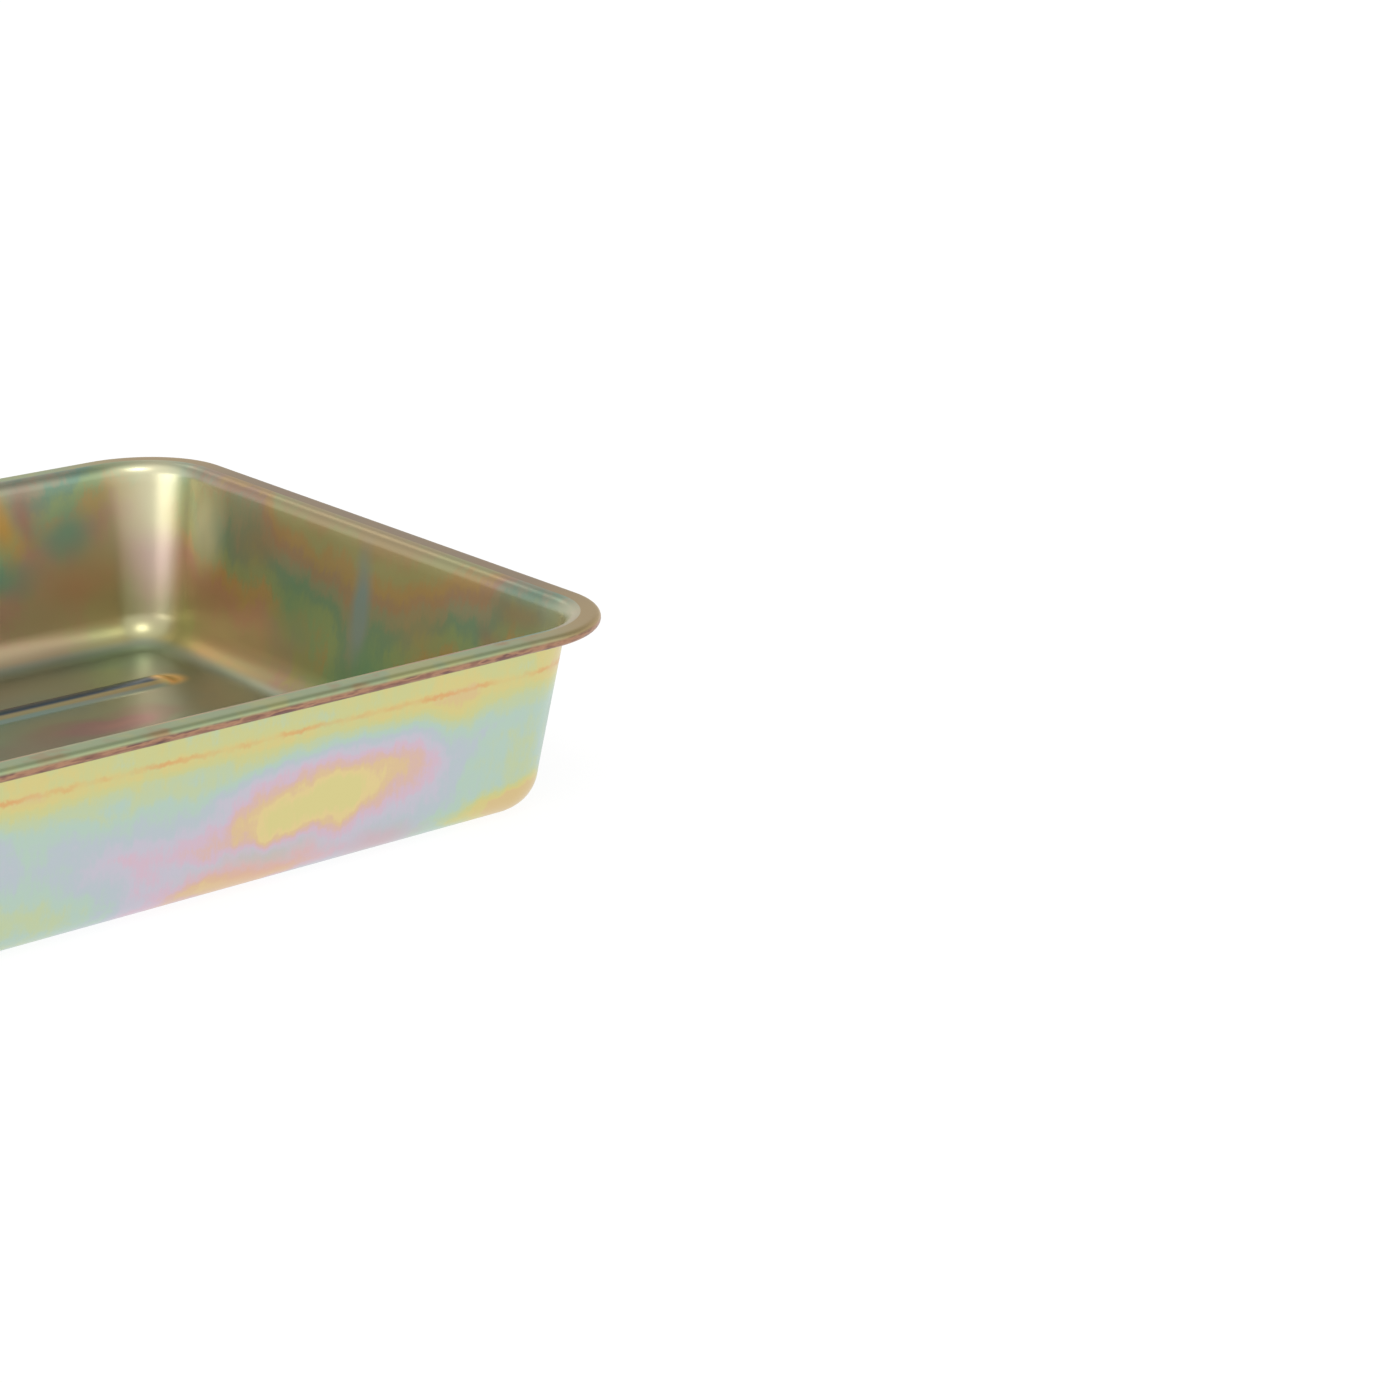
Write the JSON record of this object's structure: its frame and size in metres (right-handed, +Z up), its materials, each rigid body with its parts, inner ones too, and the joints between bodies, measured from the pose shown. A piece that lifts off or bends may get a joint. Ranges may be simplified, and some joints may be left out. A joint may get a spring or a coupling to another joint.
{
  "type": "paint roller tray",
  "caption": "Deep drawn steel paint roller tray with a rolled rim, a ribbed flat well, a beaded ramp and a folding wire leg under the shallow end.",
  "frame": {"origin": "middle of the tray's outline at the level of the surface it stands on", "axes": "+X to the deep end, +Y across, +Z up"},
  "size_m": [0.38, 0.28, 0.065],
  "materials": {
    "passivated_steel": "drawn sheet steel, zinc plated and yellow passivated, satin with rainbow tints",
    "zinc_wire": "drawn wire, zinc plated and yellow passivated",
    "clip_steel": "pressed strip, zinc plated and yellow passivated",
    "rivet_metal": "satin",
    "foot_sleeve": "matte black vinyl"
  },
  "bodies": {
    "tray": {"tray_pan": "passivated_steel", "leg_clip_left": "clip_steel", "leg_clip_right": "clip_steel", "clip_rivet_left_lower": "rivet_metal", "clip_rivet_left_upper": "rivet_metal", "clip_rivet_right_lower": "rivet_metal", "clip_rivet_right_upper": "rivet_metal"},
    "leg": {"support_leg": "zinc_wire", "foot_sleeve_left": "foot_sleeve", "foot_sleeve_right": "foot_sleeve"}
  },
  "joints": [
    {"name": "leg_fold", "type": "hinge", "parent": "tray", "child": "leg", "pos_m": [-0.15298, 0, 0.03445], "axis": [0, -1, 0], "range_deg": [0, 81]}
  ]
}
